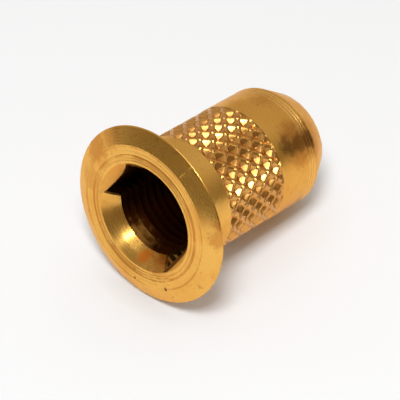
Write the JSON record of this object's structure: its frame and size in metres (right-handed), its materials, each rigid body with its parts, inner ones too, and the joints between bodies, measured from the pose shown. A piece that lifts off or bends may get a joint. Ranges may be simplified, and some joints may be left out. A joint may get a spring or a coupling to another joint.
{
  "type": "press-in insert",
  "caption": "Turned brass press-in insert with a bevelled flange, diamond-knurled shank, tapered nose and a countersunk threaded bore with cross slots.",
  "frame": {"origin": "centre of the flat nose face that the insert stands on", "axes": "+Z along the insert's axis, from the nose to the flange, out of the mouth; +X along the two slots"},
  "size_m": [0.0148, 0.0146, 0.017],
  "materials": {
    "brass": "bare turned brass, satin, with a light brown tarnish"
  },
  "bodies": {
    "root": {"insert_body": "brass"}
  },
  "joints": []
}
